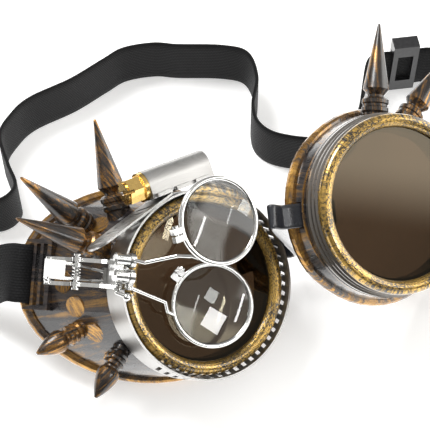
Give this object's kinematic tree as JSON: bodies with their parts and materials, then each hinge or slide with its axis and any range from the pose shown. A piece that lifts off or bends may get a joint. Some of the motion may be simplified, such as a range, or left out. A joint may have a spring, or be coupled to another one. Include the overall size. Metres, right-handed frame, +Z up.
{
  "type": "steampunk goggles",
  "caption": "Goggles with two deep spiked eye cups, screwed lens rings, smoked lenses, elastic headband, and a hose clamp carrying a clip-on double loupe.",
  "frame": {"origin": "middle of the bounding box's underside, on the table the goggles lie on", "axes": "+Z up from the table, +X from the left cup to the right cup as the picture shows them, +Y away from the viewer towards the headband's far side"},
  "size_m": [0.2139, 0.1552, 0.0802],
  "materials": {
    "bronze_plastic": "antique bronze plastic, brushed with gold",
    "spike_bronze": "dark bronze over black, rubbed with gold",
    "ring_gold": "gold brushed over black, worn",
    "smoked_lens": "smoked brown, see-through, glossy",
    "black_rubber": "matt black",
    "stud_steel": "plain steel",
    "nose_vinyl": "glossy black vinyl",
    "elastic": "black woven elastic",
    "black_plastic": "black moulded plastic",
    "band_steel": "bright stainless strip",
    "screw_brass": "yellow passivated, glossy",
    "nickel": "nickel-plated wire",
    "clear_glass": "clear, ground edge"
  },
  "bodies": {
    "goggles": {"left_cup": "bronze_plastic", "left_lens_ring": "ring_gold", "left_lens": "smoked_lens", "left_gasket": "black_rubber", "left_long_spikes": "spike_bronze", "left_short_spikes": "spike_bronze", "left_spike_screws": "stud_steel", "right_cup": "bronze_plastic", "right_gasket": "black_rubber", "right_long_spikes": "spike_bronze", "right_short_spikes": "spike_bronze", "right_spike_screws": "stud_steel", "nose_strap": "nose_vinyl", "headband": "elastic", "clamp_band": "band_steel", "clamp_housing": "band_steel", "clip_base": "nickel", "clip_pin": "nickel", "clip_spring": "nickel", "barrel_screws": "screw_brass"},
    "upper_loupe": {"upper_loupe_frame": "nickel", "upper_loupe_lens": "clear_glass", "upper_rim_screw": "nickel"},
    "lower_loupe": {"lower_loupe_frame": "nickel", "lower_loupe_lens": "clear_glass", "lower_rim_screw": "nickel"},
    "clamp_screw": {"clamp_screw": "screw_brass"},
    "clip_lever": {"clip_lever": "nickel"},
    "right_lens": {"right_lens": "smoked_lens"},
    "right_lens_ring": {"right_lens_ring": "ring_gold"},
    "strap_slide": {"strap_slide": "black_plastic"}
  },
  "joints": [
    {"name": "upper_loupe_swing", "type": "hinge", "parent": "goggles", "child": "upper_loupe", "pos_m": [-0.02869, -0.0474, 0.05805], "axis": [0.8689, 0.1784, -0.4617], "range_deg": [-30, 15]},
    {"name": "lower_loupe_swing", "type": "hinge", "parent": "goggles", "child": "lower_loupe", "pos_m": [-0.02905, -0.05198, 0.05561], "axis": [-0.8689, -0.1784, 0.4617], "range_deg": [0, 28]},
    {"name": "clamp_screw_turn", "type": "hinge", "parent": "goggles", "child": "clamp_screw", "pos_m": [-0.02555, -0.01965, 0.05962], "axis": [-0.8167, -0.5335, 0.2198], "continuous": true},
    {"name": "clip_lever_open", "type": "hinge", "parent": "goggles", "child": "clip_lever", "pos_m": [-0.04593, -0.05139, 0.05764], "axis": [0.0692, 0.8799, 0.47], "range_deg": [0, 5], "stiffness_Nm_per_rad": 0.05},
    {"name": "right_lens_rise", "type": "slide", "parent": "goggles", "child": "right_lens", "axis": [0.4068, -0.4671, 0.785], "range_m": [0, 0.00401]},
    {"name": "right_ring_unscrew", "type": "hinge", "parent": "right_lens", "child": "right_lens_ring", "pos_m": [0.0596, -0.0249, 0.05749], "axis": [0.4068, -0.4671, 0.785], "range_deg": [0, 720]},
    {"name": "strap_slide_travel", "type": "slide", "parent": "goggles", "child": "strap_slide", "axis": [0.9903, 0.1392, 0], "range_m": [-0.003, 0.003]}
  ],
  "couplings": [
    {"joint": "right_lens_rise", "follows": "right_ring_unscrew", "m_per_rad": 0.00031831}
  ]
}
